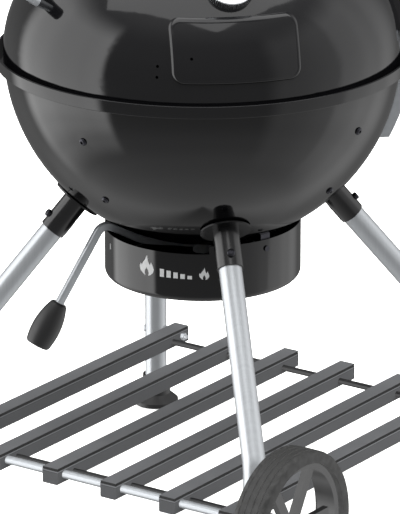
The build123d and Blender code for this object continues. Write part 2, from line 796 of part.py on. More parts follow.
dial_plane = lid_plane(angle_front, dial_rise)
handle_plane = lid_plane(angle_left, handle_rise)
with BuildPart() as lid:
    with BuildSketch(Plane.XZ):
        with Locations((0, lid_edge)):
            Ellipse(bowl_radius, lid_rise)
            Ellipse(lid_inner_radius, lid_inner_rise, mode=Mode.SUBTRACT)
            Rectangle(4 * bowl_radius, 4 * lid_rise, align=(Align.MAX, Align.CENTER), mode=Mode.SUBTRACT)
            Rectangle(4 * bowl_radius, 4 * lid_rise, align=(Align.CENTER, Align.MAX), mode=Mode.SUBTRACT)
        with Locations((lid_inner_radius, lid_edge)):
            Rectangle(lid_bead, lid_bead / 2, align=(Align.MAX, Align.MIN))
    revolve(axis=Axis.Z)
    add(lid_panel.part)
    with BuildSketch(Plane.XY.offset(lid_edge + lid_rise / 2)):
        with PolarLocations(damper_hole_circle, damper_hole_count):
            Circle(damper_hole_radius)
        Circle(damper_pin_radius + slip_clearance)
    extrude(amount=lid_rise, mode=Mode.SUBTRACT)
    with BuildSketch(dial_plane.offset(-4 * lid_wall)):
        Circle(stem_radius + slip_clearance)
    extrude(amount=8 * lid_wall, mode=Mode.SUBTRACT)
    for turn, height in probe_holes:
        hole_out = polar_point(angle_front + turn, 1, 0)
        with BuildSketch(Plane(origin=(0, 0, rim_height + height), x_dir=(0, 0, 1), z_dir=hole_out)):
            Circle(probe_hole_radius)
        extrude(amount=2 * bowl_radius, mode=Mode.SUBTRACT)
save(lid, "lid")

# Lid handle: a grip on two posts, opposite the hinge
with BuildPart() as lid_handle_posts:
    with BuildSketch(handle_plane.offset(-handle_stand_off / 2)):
        with Locations((-handle_post_span / 2, 0), (handle_post_span / 2, 0)):
            Circle(handle_post_radius)
    extrude(amount=1.5 * handle_stand_off)
    grip_axis_plane = Plane(
        origin=handle_plane.origin + handle_plane.z_dir * handle_stand_off,
        x_dir=handle_plane.z_dir,
        z_dir=handle_plane.x_dir,
    )
    with BuildSketch(grip_axis_plane):
        Circle(handle_grip_radius + slip_clearance)
    extrude(amount=handle_grip_length, both=True, mode=Mode.SUBTRACT)
    add(lid_core.part, mode=Mode.SUBTRACT)
save(lid_handle_posts, "lid_handle_posts")

with BuildPart() as lid_handle_grip:
    with BuildSketch(grip_axis_plane):
        Circle(handle_grip_radius)
    extrude(amount=handle_grip_length / 2, both=True)
    fillet(lid_handle_grip.edges().filter_by(GeomType.CIRCLE), handle_grip_radius / 2)
save(lid_handle_grip, "lid_handle_grip")

# Lid damper: a disc on the crown that turns over three holes
damper_low = damper_gap
damper_high = damper_gap + damper_thickness
with BuildPart() as damper:
    with BuildSketch(Plane.XZ):
        with Locations((0, lid_edge)):
            Ellipse(bowl_radius + damper_high, lid_rise + damper_high)
            Ellipse(bowl_radius + damper_low, lid_rise + damper_low, mode=Mode.SUBTRACT)
            with Locations((damper_pin_radius + running_clearance, 0)):
                Rectangle(
                    damper_radius - damper_pin_radius, 2 * lid_rise,
                    align=(Align.MIN, Align.MIN), mode=Mode.INTERSECT,
                )
    revolve(axis=Axis.Z)
    with BuildSketch(Plane.XY.offset(lid_edge + lid_rise / 2)):
        with PolarLocations(damper_hole_circle, damper_hole_count):
            Circle(damper_hole_radius)
    extrude(amount=lid_rise, mode=Mode.SUBTRACT)
save(damper, "damper")

damper_tab_reach = damper_radius - 2.5 * damper_tab_radius
damper_tab_base = polar_point(180.0 / damper_hole_count, damper_tab_reach, lid_top - damper_tab_height)
with BuildPart() as damper_knob:
    with BuildSketch(Plane(origin=damper_tab_base)):
        Circle(damper_tab_radius)
    extrude(amount=2 * damper_tab_height)
    fillet(damper_knob.edges().group_by(Axis.Z)[-1], damper_tab_radius / 2)
    with BuildSketch(Plane.XZ):
        with Locations((0, lid_edge)):
            Ellipse(bowl_radius + damper_high + slip_clearance, lid_rise + damper_high + slip_clearance)
            Rectangle(4 * bowl_radius, 4 * lid_rise, align=(Align.MAX, Align.CENTER), mode=Mode.SUBTRACT)
    revolve(axis=Axis.Z, mode=Mode.SUBTRACT)
save(damper_knob, "damper_knob")

with BuildPart() as damper_pin:
    with BuildSketch(Plane.XY.offset(lid_top - lid_wall - damper_pin_head_height)):
        Circle(damper_pin_radius)
    extrude(amount=lid_wall + 2 * damper_pin_head_height + damper_high)
    with BuildSketch(Plane.XY.offset(lid_top + damper_high + damper_gap)):
        Circle(damper_pin_head)
    extrude(amount=damper_pin_head_height)
    with BuildSketch(Plane.XY.offset(lid_top - lid_wall - 2 * slip_clearance)):
        Circle(damper_pin_head)
    extrude(amount=-damper_pin_head_height)
save(damper_pin, "damper_pin")

# Thermometer on the lid's front, with its stem through the wall
dial_bore = dial_radius - dial_bezel_width
glass_low = dial_case_height - dial_glass_drop - dial_glass
needle_length = dial_bore - needle_gap
needle_pin_radius = needle_width / 2
needle_low = dial_floor + dial_plate + moving_gap
with BuildPart() as thermometer_case:
    with BuildSketch(dial_plane.offset(-dial_case_height)):
        Circle(dial_radius)
    extrude(amount=2 * dial_case_height)
    fillet(thermometer_case.edges().filter_by(GeomType.CIRCLE), dial_bezel_width / 3)
    with BuildSketch(dial_plane.offset(dial_floor)):
        Circle(dial_bore)
    extrude(amount=dial_case_height, mode=Mode.SUBTRACT)
    add(lid_core.part, mode=Mode.SUBTRACT)
save(thermometer_case, "thermometer_case")

with BuildPart() as thermometer_dial:
    with BuildSketch(dial_plane.offset(dial_floor)):
        Circle(dial_bore - slip_clearance)
    extrude(amount=dial_plate)
    with BuildSketch(dial_plane.offset(dial_floor)):
        Circle(needle_pin_radius)
    extrude(amount=needle_low + 2 * needle_thickness - dial_floor)
save(thermometer_dial, "thermometer_dial")

with BuildPart() as thermometer_needle:
    with BuildSketch(dial_plane.offset(needle_low)):
        Circle(2.5 * needle_width)
        with Locations(Location((0, 0), needle_cold_angle)):
            Rectangle(needle_length, needle_width, align=(Align.MIN, Align.CENTER))
        Circle(needle_pin_radius + running_clearance, mode=Mode.SUBTRACT)
    extrude(amount=needle_thickness)
save(thermometer_needle, "thermometer_needle")

with BuildPart() as thermometer_glass:
    with BuildSketch(dial_plane.offset(glass_low)):
        Circle(dial_bore - slip_clearance)
    extrude(amount=dial_glass)
save(thermometer_glass, "thermometer_glass")

with BuildPart() as thermometer_stem:
    with BuildSketch(dial_plane.offset(-slip_clearance)):
        Circle(stem_radius)
    extrude(amount=-stem_length)
save(thermometer_stem, "thermometer_stem")

with BuildPart() as thermometer_nut:
    with BuildSketch(dial_plane.offset(-lid_wall - 2 * slip_clearance)):
        RegularPolygon(stem_nut_radius, 6)
        Circle(stem_radius + slip_clearance, mode=Mode.SUBTRACT)
    extrude(amount=-stem_nut_height)
save(thermometer_nut, "thermometer_nut")

# Lid hinge on the right: a channel bracket on the bowl, a strap on the lid, and the pin between them
hinge_plane = radial_plane(angle_right)
bracket_outer = bowl_radius + hinge_stand_off
bracket_low = rim_height - hinge_drop
bracket_high = band_bottom - hinge_web
band_clear = band_radius + moving_gap
low_reach = math.sqrt(bracket_outer ** 2 - (bowl_centre - bracket_low) ** 2)
high_reach = math.sqrt(bracket_outer ** 2 - (bowl_centre - bracket_high) ** 2)
hinge_inner_reach = bowl_radius / 2
with BuildPart() as hinge_bracket:
    for start in (-hinge_half_width, hinge_half_width - hinge_plate):
        with BuildSketch(hinge_plane.offset(start)):
            with BuildLine():
                Line((hinge_inner_reach, bracket_low), (low_reach, bracket_low))
                RadiusArc((low_reach, bracket_low), (high_reach, bracket_high), -bracket_outer)
                Polyline(
                    (high_reach, bracket_high),
                    (hinge_axis_radius + hinge_lug_radius, hinge_axis_height),
                    (hinge_axis_radius - hinge_lug_radius, hinge_axis_height),
                    (band_clear, rim_height),
                    (band_clear, bracket_high),
                    (hinge_inner_reach, bracket_high),
                    (hinge_inner_reach, bracket_low),
                )
            make_face()
            with Locations((hinge_axis_radius, hinge_axis_height)):
                Circle(hinge_lug_radius)
        extrude(amount=hinge_plate)
    with BuildSketch(hinge_plane):
        with Locations((0, bowl_centre)):
            Circle(bracket_outer)
            Circle(bracket_outer - hinge_web, mode=Mode.SUBTRACT)
        with Locations((hinge_inner_reach, bracket_low)):
            Rectangle(
                bracket_outer, bracket_high - bracket_low,
                align=(Align.MIN, Align.MIN), mode=Mode.INTERSECT,
            )
    extrude(amount=hinge_half_width, both=True)
    with Locations((0, 0, bowl_centre)):
        Sphere(bowl_radius + slip_clearance, mode=Mode.SUBTRACT)
    with BuildSketch(hinge_plane):
        with Locations((hinge_axis_radius, hinge_axis_height)):
            Circle(hinge_pin_radius + running_clearance)
    extrude(amount=2 * hinge_half_width, both=True, mode=Mode.SUBTRACT)
save(hinge_bracket, "hinge_bracket")

strap_half_width = hinge_half_width - hinge_plate - moving_gap
strap_top = lid_edge + strap_top_rise
strap_low = lid_edge + strap_low_rise
strap_top_reach = bowl_radius * math.sqrt(1 - (strap_top_rise / lid_rise) ** 2) + hinge_stand_off
lug_shoulder = hinge_lug_radius / math.sqrt(2.0)
with BuildPart() as hinge_strap:
    outer_corner = (hinge_axis_radius + lug_shoulder, hinge_axis_height + lug_shoulder)
    for start in (-strap_half_width, strap_half_width - hinge_plate):
        with BuildSketch(hinge_plane.offset(start)):
            Polygon(
                outer_corner,
                (strap_top_reach, strap_top),
                (hinge_inner_reach, strap_top),
                (hinge_inner_reach, strap_low),
                (hinge_axis_radius - hinge_lug_radius, strap_low),
                (hinge_axis_radius - hinge_lug_radius, hinge_axis_height),
                (hinge_axis_radius, hinge_axis_height),
                align=None,
            )
            with Locations((hinge_axis_radius, hinge_axis_height)):
                Circle(hinge_lug_radius)
        extrude(amount=hinge_plate)
    with BuildSketch(hinge_plane):
        Polygon(
            (outer_corner[0] - hinge_web, outer_corner[1]),
            outer_corner,
            (strap_top_reach, strap_top),
            (strap_top_reach - 2 * hinge_web, strap_top),
            align=None,
        )
    extrude(amount=strap_half_width, both=True)
    add(lid_core.part, mode=Mode.SUBTRACT)
    with BuildSketch(hinge_plane):
        with Locations((hinge_axis_radius, hinge_axis_height)):
            Circle(hinge_pin_radius + running_clearance)
    extrude(amount=2 * hinge_half_width, both=True, mode=Mode.SUBTRACT)
save(hinge_strap, "hinge_strap")

with BuildPart() as hinge_pin:
    with BuildSketch(hinge_plane):
        with Locations((hinge_axis_radius, hinge_axis_height)):
            Circle(hinge_pin_radius)
    extrude(amount=hinge_half_width + hinge_plate, both=True)
    for side in (-1, 1):
        with BuildSketch(hinge_plane.offset(side * (hinge_half_width + slip_clearance))):
            with Locations((hinge_axis_radius, hinge_axis_height)):
                Circle(2 * hinge_pin_radius)
        extrude(amount=side * hinge_plate)
save(hinge_pin, "hinge_pin")
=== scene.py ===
"""Dresses the kettle grill: its finishes, bolts, panel border, tyres, printed marks and dial, in a plain studio."""
import math

import bmesh
import bpy
from mathutils import Matrix, Vector


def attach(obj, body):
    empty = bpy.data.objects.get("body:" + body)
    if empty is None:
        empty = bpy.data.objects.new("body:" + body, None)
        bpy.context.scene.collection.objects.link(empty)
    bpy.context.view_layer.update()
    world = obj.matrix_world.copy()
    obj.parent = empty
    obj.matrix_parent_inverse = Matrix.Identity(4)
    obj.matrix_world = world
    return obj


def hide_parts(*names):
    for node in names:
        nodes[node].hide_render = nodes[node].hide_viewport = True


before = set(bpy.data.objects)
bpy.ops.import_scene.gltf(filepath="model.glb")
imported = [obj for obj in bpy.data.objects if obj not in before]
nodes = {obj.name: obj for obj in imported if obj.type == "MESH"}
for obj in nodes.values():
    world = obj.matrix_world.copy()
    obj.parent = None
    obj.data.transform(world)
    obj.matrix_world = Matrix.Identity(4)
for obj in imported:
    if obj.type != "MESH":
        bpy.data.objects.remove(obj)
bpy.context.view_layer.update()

MM = 0.001
# Sizes shared with the solids, in millimetres and degrees; slopes are measured from straight down
axis_x = 40.5
front_angle = 225
slip_clearance = 0.1
moving_gap = 0.5
bowl_centre = 668.0
bowl_radius = 276.0
bracket_angles = (-2.5, 87.5, 177.5, 267.5)
bracket_slopes = (74.3, 52.3)
lid_edge = 666.3
lid_rise = 205.0
panel_half_width = 84.0
panel_half_height = 37.0
panel_middle = 733.0
panel_corner = 12.0
dial_rise = 138.0
dial_lift = 3.8
leg_angles = (45, 135, 225, 315)
leg_slope = 39.7
leg_radius = 16.0
leg_reach = 397.0
socket_length = 57.0
socket_radius = 18.2
socket_bolt_from_end = 16.0
drum_radius = 137.4
hub_length = 80.0
wheel_radius = 114.0
wheel_x = axis_x - leg_reach / math.sqrt(2.0)
wheel_y = leg_reach / math.sqrt(2.0) + leg_radius + moving_gap + hub_length / 2
tyre_bed = 97.0
tyre_half_width = 23.0


def colour(code):
    """Linear RGBA of an sRGB hex colour."""
    parts = [int(code[i:i + 2], 16) / 255 for i in (1, 3, 5)]
    return [c / 12.92 if c <= 0.04045 else ((c + 0.055) / 1.055) ** 2.4 for c in parts] + [1.0]


def add(tree, kind, settings=(), values=(), links=()):
    """One node with its settings, its input values and the outputs that feed it."""
    node = tree.nodes.new(kind)
    for name, value in dict(settings).items():
        setattr(node, name, value)
    for name, value in dict(values).items():
        node.inputs[name].default_value = value
    for name, output in dict(links).items():
        tree.links.new(output, node.inputs[name])
    return node


def surface(name, dark, light, patch, rough, grain, relief, lie=(1, 1, 1), turn=0, **shader_values):
    """A finish: patches of two tones that also vary the gloss, and a fine relief. Lengths are in millimetres.

    The lie stretches both along the axes, and the turn sets those axes about the vertical, in degrees.
    """
    material = bpy.data.materials.new(name)
    material.use_nodes = True
    tree = material.node_tree
    shader = tree.nodes["Principled BSDF"]
    place = add(tree, "ShaderNodeTexCoord")
    laid = add(tree, "ShaderNodeMapping", {"vector_type": "TEXTURE"},
               {"Rotation": (0, 0, math.radians(turn)), "Scale": lie}, {"Vector": place.outputs["Object"]})
    patches = add(tree, "ShaderNodeTexNoise", (), {"Scale": 1 / (patch * MM), "Detail": 4.0},
                  {"Vector": laid.outputs[0]})
    grains = add(tree, "ShaderNodeTexNoise", (), {"Scale": 1 / (grain * MM), "Detail": 2.0},
                 {"Vector": laid.outputs[0]})
    tone = add(tree, "ShaderNodeMix", {"data_type": "RGBA"}, {6: colour(dark), 7: colour(light)},
               {0: patches.outputs["Fac"]})
    gloss = add(tree, "ShaderNodeMapRange", (),
                {"From Min": 0.3, "From Max": 0.7, "To Min": rough[0], "To Max": rough[1]},
                {"Value": patches.outputs["Fac"]})
    bump = add(tree, "ShaderNodeBump", (), {"Strength": 1.0, "Distance": relief * MM},
               {"Height": grains.outputs["Fac"]})
    tree.links.new(tone.outputs[2], shader.inputs["Base Color"])
    tree.links.new(gloss.outputs[0], shader.inputs["Roughness"])
    tree.links.new(bump.outputs[0], shader.inputs["Normal"])
    for socket, value in shader_values.items():
        shader.inputs[socket.replace("_", " ")].default_value = value
    return material


# Vitreous enamel fired on pressed steel: deep black, wet gloss, with a faint orange peel
black_enamel = surface("vitreous_enamel_black", "#0a0a0b", "#0f0f11", 140, (0.05, 0.09), 7, 0.004, IOR=1.34)
# Drawn aluminium tube: bright, with fine die lines along its length; one for each pair of legs
leg_aluminium = {
    turn: surface(f"drawn_aluminium_{turn}", "#979a9d", "#a5a8ab", 2.4, (0.32, 0.38), 1.2, 0.0015,
                  lie=(60, 1, 60), turn=turn, Metallic=0.6)
    for turn in (45, 135)
}
# Pressed aluminium sheet of the damper: satin, with a coarse rolled grain
sheet_aluminium = surface("rolled_aluminium", "#6e7174", "#808386", 3.0, (0.36, 0.46), 1.5, 0.006,
                          lie=(30, 1, 1), Metallic=0.6)
# Glass-filled nylon, moulded: near black, half gloss; its fine grain is drawn coarser so that it shows
moulded_nylon = surface("glass_filled_nylon", "#070708", "#0e0e10", 16, (0.16, 0.24), 1.6, 0.008, IOR=1.40)
# Soft rubber of the lever's sleeve and the feet: black and matt, with a faint moulded grain
sleeve_rubber = surface("moulded_soft_rubber", "#0c0c0d", "#131314", 12, (0.42, 0.50), 1.4, 0.012, IOR=1.40)
# Powder coat, dark grey or black, with a soft sheen and the small orange peel of baked powder
grey_powder = surface("powder_coat_grey", "#4e4f51", "#5a5b5d", 34, (0.46, 0.56), 1.8, 0.016, IOR=1.25)
black_powder = surface("powder_coat_black", "#0d0d0e", "#141416", 30, (0.30, 0.40), 1.8, 0.010, IOR=1.36)
# Zinc-plated steel: pale grey and slightly cloudy, with a fine grain
zinc_steel = surface("zinc_plated_steel", "#92969a", "#a4a7aa", 7, (0.30, 0.40), 1.4, 0.004, Metallic=0.5)
# Bright-plated wire and pins: clear mirror with light handling haze
bright_plate = surface("bright_plated_steel", "#c4c7cb", "#e0e2e4", 12, (0.08, 0.18), 2.0, 0.003, Metallic=1.0)
# Blackened bolts: dark oxide over turned steel
black_oxide = surface("black_oxide_steel", "#26262a", "#343438", 4, (0.28, 0.42), 0.9, 0.006, Metallic=1.0)
# Brushed stainless steel of the thermometer's case: satin, with fine lines across it
stainless = surface("brushed_stainless", "#aeb1b4", "#cfd1d3", 1.6, (0.20, 0.32), 0.8, 0.004,
                    lie=(24, 1, 24), turn=45, Metallic=1.0)
# Printed dial: matt off-white paint on tin, with black ink and a red needle
dial_paint = surface("dial_paint_white", "#e4e3dd", "#efeee8", 9, (0.45, 0.55), 1.0, 0.002)
dial_ink = surface("dial_ink_black", "#161616", "#202020", 6, (0.5, 0.6), 0.8, 0.001)
needle_paint = surface("needle_paint_red", "#a01c16", "#b4261e", 6, (0.35, 0.45), 0.8, 0.002)
# Float glass of the thermometer's cover: clear, hard and almost without a ripple
cover_glass = surface("float_glass", "#f4f7f6", "#fafcfb", 40, (0.01, 0.03), 12, 0.0005, Transmission_Weight=1.0)
# Solid tyre: dull carbon-black rubber with a slightly dusty bloom
tyre_rubber = surface("carbon_black_rubber", "#121212", "#1e1e1d", 9, (0.58, 0.76), 1.2, 0.030)
# Screen print on the drum: thin light grey enamel ink
print_ink = surface("enamel_print_light", "#d2d3d3", "#dedfdf", 10, (0.30, 0.40), 1.5, 0.002)

# Seam of the folded slats: painted shadow, black in the joint; a painted highlight, paler, just under it; and a thin
# band of painted shade under that. Marks are heights in millimetres, each with the share of the coat's tone from there
# up
seam_low = 118.0
seam_span = 10.0
seam_shade_and_highlight_marks = [(118.0, 1.0), (119.0, 0.6), (119.9, 2.0), (121.8, 0.01), (125.4, 1.0)]
seam_tree = grey_powder.node_tree
seam_place = add(seam_tree, "ShaderNodeTexCoord")
seam_parts = add(seam_tree, "ShaderNodeSeparateXYZ", (), (), {"Vector": seam_place.outputs["Object"]})
seam_share = add(seam_tree, "ShaderNodeMapRange", (),
                 {"From Min": seam_low * MM, "From Max": (seam_low + seam_span) * MM},
                 {"Value": seam_parts.outputs["Z"]})
seam_painted_light_ramp = add(seam_tree, "ShaderNodeValToRGB", (), (), {"Fac": seam_share.outputs[0]})
seam_painted_light_ramp.color_ramp.interpolation = "CONSTANT"
while len(seam_painted_light_ramp.color_ramp.elements) < len(seam_shade_and_highlight_marks):
    seam_painted_light_ramp.color_ramp.elements.new(1.0)
for element, (height, value) in zip(seam_painted_light_ramp.color_ramp.elements, seam_shade_and_highlight_marks):
    element.position = (height - seam_low) / seam_span
    element.color = (value, value, value, 1.0)
seam_shader = seam_tree.nodes["Principled BSDF"]
# Painted shadow in the seam and a painted highlight under it, multiplied into the coat's tone
seam_painted_light_tone = add(seam_tree, "ShaderNodeMix", {"data_type": "RGBA", "blend_type": "MULTIPLY"}, {0: 1.0},
                {6: seam_shader.inputs["Base Color"].links[0].from_socket, 7: seam_painted_light_ramp.outputs["Color"]})
seam_tree.links.new(seam_painted_light_tone.outputs[2], seam_shader.inputs["Base Color"])

finishes = {
    black_enamel: ["bowl", "lid", "ash_catcher"],
    leg_aluminium[45]: ["leg_left", "leg_right"],
    leg_aluminium[135]: ["leg_back", "leg_front"],
    sheet_aluminium: ["damper"],
    moulded_nylon: [
        "leg_socket_back", "leg_socket_left", "leg_socket_front", "leg_socket_right",
        "lid_handle_grip", "leg_end_cap_front", "leg_end_cap_left", "axle_caps",
        "wheel_front", "wheel_left", "damper_knob",
    ],
    sleeve_rubber: ["lever_grip", "foot_back", "foot_right"],
    grey_powder: ["slat_caps"] + [f"slat_{i}" for i in range(1, 7)],
    black_powder: ["crossbar_left", "crossbar_right", "hinge_strap"],
    zinc_steel: [
        "cooking_grate_brackets", "charcoal_grate_brackets", "hinge_bracket", "sweeper_blades",
        "sweeper_shaft", "lever", "shelf_spacers", "shelf_bolts", "lid_handle_posts", "hinge_pin", "axle",
    ],
    bright_plate: ["cooking_grate", "charcoal_grate", "damper_pin", "thermometer_nut", "thermometer_stem"],
    black_oxide: ["bracket_bolts", "socket_bolts", "catcher_studs", "catcher_clips"],
    stainless: ["thermometer_case"],
    dial_paint: ["thermometer_dial"],
    needle_paint: ["thermometer_needle"],
    cover_glass: ["thermometer_glass"],
    tyre_rubber: ["tyre_front", "tyre_left"],
}
for material, names in finishes.items():
    for name in names:
        node = nodes[name]
        node.data.materials.clear()
        node.data.materials.append(material)


def piece(name, mesh, material, body):
    """A finished mesh as a piece that rides on a body."""
    made = bpy.data.objects.new(name, mesh)
    bpy.context.scene.collection.objects.link(made)
    mesh.materials.append(material)
    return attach(made, body)


def join_rings(bm, rings, loop=False):
    """Faces from each ring of points to the next; a loop also joins the last to the first. A ring may be one point."""
    sides = max(len(ring) for ring in rings)
    following = rings[1:] + (rings[:1] if loop else [])
    for low, high in zip(rings, following):
        for i in range(sides):
            j = (i + 1) % sides
            corners = [low[i % len(low)], low[j % len(low)], high[j % len(high)], high[i % len(high)]]
            bm.faces.new(list(dict.fromkeys(corners)))


def lathe(bm, profile, place, segments=28):
    """A closed turned form: profile points are (radius, height) in millimetres, turned about the local z of place."""
    rings = []
    for radius, height in profile:
        ring = []
        for i in range(segments if radius else 1):
            angle = math.tau * i / segments
            spot = Vector((radius * math.cos(angle), radius * math.sin(angle), height)) * MM
            ring.append(bm.verts.new(place @ spot))
        rings.append(ring)
    join_rings(bm, rings)


def smooth_mesh(bm, name, sharp=35):
    """The finished mesh, shaded smooth except over edges sharper than an angle in degrees."""
    bmesh.ops.recalc_face_normals(bm, faces=bm.faces)
    mesh = bpy.data.meshes.new(name)
    bm.to_mesh(mesh)
    bm.free()
    mesh.shade_smooth()
    mesh.set_sharp_from_angle(angle=math.radians(sharp))
    return mesh


def stand_on(point, normal, across):
    """Matrix that puts a form's foot at a point, its z along the normal."""
    up = Vector(normal).normalized()
    side = Vector(across).normalized()
    turn = Matrix((side, up.cross(side), up)).transposed().to_4x4()
    return Matrix.Translation(Vector(point) * MM) @ turn


def around(angle, reach, height):
    """Point about the bowl's axis, in millimetres."""
    turn = math.radians(angle)
    return Vector((axis_x + reach * math.cos(turn), reach * math.sin(turn), height))


def outward(angle, slope):
    """Direction out of the bowl; slope is measured from straight down."""
    turn, tilt = math.radians(angle), math.radians(slope)
    return Vector((math.sin(tilt) * math.cos(turn), math.sin(tilt) * math.sin(turn), -math.cos(tilt)))


def sideways(angle):
    """Level direction along the bowl's girth."""
    return Vector((-math.sin(math.radians(angle)), math.cos(math.radians(angle)), 0))


# Button-head bolts with a recess, in place of the plain heads on the bowl. A head's section is (radius, height) pairs
button_head = [(0, 1.5), (2.3, 1.5), (2.3, 3.2), (3.2, 3.3), (4.3, 2.8), (5.1, 1.9), (5.6, 0.7), (5.6, 0),
               (3, 0), (3, -6.6), (0, -6.6)]
bowl_middle = Vector((axis_x, 0, bowl_centre))
bm = bmesh.new()
for angle in bracket_angles:
    for slope in bracket_slopes:
        seat = bowl_middle + outward(angle, slope) * (bowl_radius + slip_clearance)
        lathe(bm, button_head, stand_on(seat, outward(angle, slope), sideways(angle)))
bowl_bolts = piece("bowl_bolts", smooth_mesh(bm, "bowl_bolts"), black_oxide, "stand")
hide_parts("bracket_bolts")

# Domed socket bolts with the oval pockets of their nuts, in place of the plain bolts. A pocket's section is pairs of
# its share of the oval and its lift from the socket
socket_head = [(0, 4.0), (2.3, 4.0), (2.3, 5.0), (3.4, 4.9), (4.6, 4.4), (5.4, 3.4), (5.4, -0.3), (0, -0.3)]
pocket = [(0, -0.3), (1.0, -0.3), (1.0, 0.4), (0.88, 0.5), (0.80, 0.12), (0, 0.12)]
pocket_length = 26.0
pocket_width = 13.0
pocket_points = 32
bm = bmesh.new()
for angle in leg_angles:
    axis = outward(angle, leg_slope)
    up = axis.cross(sideways(angle))
    centre = bowl_middle + axis * (bowl_radius + socket_length - socket_bolt_from_end)
    lathe(bm, socket_head, stand_on(centre + up * socket_radius, up, sideways(angle)))
    rings = []
    for share, lift in pocket:
        ring = []
        for i in range(pocket_points if share else 1):
            turn = math.tau * i / pocket_points
            along = share * pocket_length / 2 * math.cos(turn)
            girth = share * pocket_width / 2 * math.sin(turn) / socket_radius
            away = sideways(angle) * math.sin(girth) - up * math.cos(girth)
            ring.append(bm.verts.new((centre + axis * along + away * (socket_radius + lift)) * MM))
        rings.append(ring)
    join_rings(bm, rings)
sockets = piece("socket_bolt_faces", smooth_mesh(bm, "socket_bolt_faces"), black_oxide, "stand")
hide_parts("socket_bolts")

# Rounded border of the lid's raised panel, over the plain step of the solid. Its section is (outward, lift) pairs, and
# its stations are the arcs' centres across and up the panel with the direction outward in degrees
panel_border = [(-2.0, 3.8), (-1.2, 4.12), (0, 4.3), (1.2, 4.05), (2.3, 3.4), (3.2, 2.5), (3.8, 1.4), (4.1, 0.3),
                (4.2, -0.5), (-2.0, -0.5)]
corner_steps = 12
run_steps = 24
arc_u = panel_half_width - panel_corner
arc_v = panel_half_height - panel_corner
arc_centres = [(arc_u, arc_v), (-arc_u, arc_v), (-arc_u, -arc_v), (arc_u, -arc_v)]
stations = []
for i, (u, v) in enumerate(arc_centres):
    next_u, next_v = arc_centres[(i + 1) % 4]
    stations += [(u, v, 90 * (i + j / corner_steps)) for j in range(corner_steps)]
    stations += [(u + (next_u - u) * j / run_steps, v + (next_v - v) * j / run_steps, 90 * (i + 1))
                 for j in range(run_steps)]
bm = bmesh.new()
rings = []
for u, v, angle in stations:
    ring = []
    for out, lift in panel_border:
        across = u + (panel_corner + out) * math.cos(math.radians(angle))
        height = panel_middle + v + (panel_corner + out) * math.sin(math.radians(angle))
        girth = (bowl_radius + lift) * math.sqrt(1 - ((height - lid_edge) / (lid_rise + lift)) ** 2)
        reach = math.sqrt(girth ** 2 - across ** 2)
        ring.append(bm.verts.new((around(front_angle, reach, height) + sideways(front_angle) * across) * MM))
    rings.append(ring)
join_rings(bm, rings, loop=True)
piece("panel_border", smooth_mesh(bm, "panel_border"), black_enamel, "lid")

# Solid tyres with rounded shoulders, grooves round the tread and notched lugs. The tread's section is given as the
# inset from its side, the depth under its crown and whether the notches cut it
tread_steps = 192
notch_pitch = 6
notch_length = 2
notch_depth = 1.6
tread = []
for inset, depth, lug in (
    (0.0, wheel_radius - tyre_bed, 0), (0.0, 5.2, 0), (0.8, 3.0, 0), (2.6, 1.2, 1), (5.4, 0.25, 1), (7.6, 0.1, 1),
    (7.8, 2.0, 0), (10.0, 2.0, 0), (10.2, 0.05, 0), (17.0, 0.0, 0), (17.2, 2.0, 0), (19.6, 2.0, 0),
    (19.8, 0.0, 0), (tyre_half_width, 0.0, 0),
):
    tread.append((inset - tyre_half_width, wheel_radius - depth, lug))
tread += [(-across, radius, lug) for across, radius, lug in reversed(tread[:-1])]
for name, side in (("front", -1), ("left", 1)):
    bm = bmesh.new()
    rings = []
    for i in range(tread_steps):
        angle = math.tau * i / tread_steps
        notch = notch_depth if i % notch_pitch < notch_length else 0.0
        ring = []
        for across, radius, lug in tread:
            reach = radius - lug * notch
            spot = (wheel_x + reach * math.sin(angle), side * wheel_y + across, wheel_radius + reach * math.cos(angle))
            ring.append(bm.verts.new(Vector(spot) * MM))
        rings.append(ring)
    join_rings(bm, rings, loop=True)
    tyre = piece(f"treaded_tyre_{name}", smooth_mesh(bm, f"treaded_tyre_{name}"), tyre_rubber,
                 f"wheel_{name}")
    tyre.visible_glossy = False
    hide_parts(f"tyre_{name}")

# Marks printed on the drum: a heat scale of two flames with bars between them, and a tick. Their outlines are shares
# of a mark's width and height
print_strip = 1.5
print_rise = 0.16
print_root = 0.20
bar_heights = (11.5, 10.0, 8.5, 6.9, 5.0)
bar_first_angle = 190.7
bar_step_angle = 4.17
flame = [(-0.06, -0.50), (-0.20, -0.42), (-0.36, -0.26), (-0.40, -0.06), (-0.33, 0.07), (-0.27, -0.02),
         (-0.20, 0.12), (-0.08, 0.28), (0.02, 0.50), (0.07, 0.34), (0.10, 0.18), (0.18, 0.02), (0.22, 0.10),
         (0.26, 0.20), (0.34, 0.02), (0.40, -0.16), (0.36, -0.32), (0.24, -0.44), (0.10, -0.50), (0.13, -0.36),
         (0.08, -0.22), (0.00, -0.10), (-0.08, -0.24), (-0.11, -0.38)]
bar = [(-0.5, 0), (0.5, 0), (0.5, 1), (-0.5, 1)]


def drum_print(bm, outline, angle, height, wide, tall):
    """One printed shape, cut into narrow strips and wrapped round the drum with a little thickness."""
    corners = [bm.verts.new((x * wide, y * tall, 0)) for x, y in outline]
    faces = [bm.faces.new(corners)]
    left = min(x for x, y in outline) * wide
    right = max(x for x, y in outline) * wide
    strips = max(2, int((right - left) / print_strip))
    for i in range(1, strips):
        cut = left + (right - left) * i / strips
        geometry = set(faces)
        for face in faces:
            geometry.update(face.edges)
            geometry.update(face.verts)
        found = bmesh.ops.bisect_plane(bm, geom=list(geometry), plane_co=(cut, 0, 0), plane_no=(1, 0, 0))
        faces = [g for g in found["geom"] if isinstance(g, bmesh.types.BMFace)]
    grown = bmesh.ops.extrude_face_region(bm, geom=faces)
    raised = {g for g in grown["geom"] if isinstance(g, bmesh.types.BMVert)}
    shape = {v for f in faces for v in f.verts} | raised
    for v in shape:
        reach = drum_radius + (print_rise if v in raised else -print_root)
        turn = math.radians(angle) + v.co.x / drum_radius
        v.co = around(math.degrees(turn), reach, height + v.co.y) * MM


